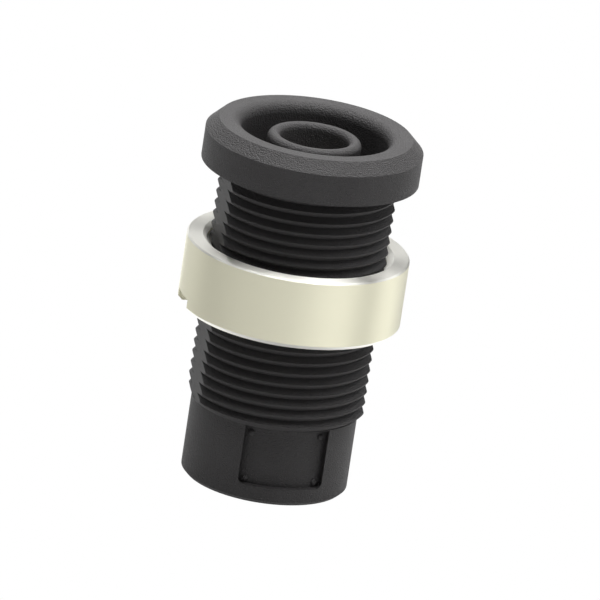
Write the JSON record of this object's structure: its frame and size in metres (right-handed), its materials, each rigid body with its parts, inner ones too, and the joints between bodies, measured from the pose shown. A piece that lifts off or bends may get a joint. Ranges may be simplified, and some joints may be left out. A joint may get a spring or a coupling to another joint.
{
  "type": "banana socket",
  "caption": "Insulated 4 mm safety socket for a panel: flanged round body with a shroud groove, threaded barrel with flats, and a slotted ring nut.",
  "frame": {"origin": "centre of the rear end face, which the socket stands on", "axes": "+Z along the bore to the mouth; -Y is the side with the shallow window; the barrel's two flats face +X and -X"},
  "size_m": [0.0148, 0.0148, 0.0245],
  "materials": {
    "housing_plastic": "moulded, fine matt grain",
    "contact_metal": "turned, nickel plated",
    "nut_metal": "turned, satin nickel plate"
  },
  "bodies": {
    "socket": {"housing": "housing_plastic", "contact": "contact_metal"},
    "nut": {"ring_nut": "nut_metal"}
  },
  "joints": [
    {"name": "nut_travel", "type": "slide", "parent": "socket", "child": "nut", "axis": [0, 0, 1], "range_m": [-0.006, 0.00525]}
  ]
}
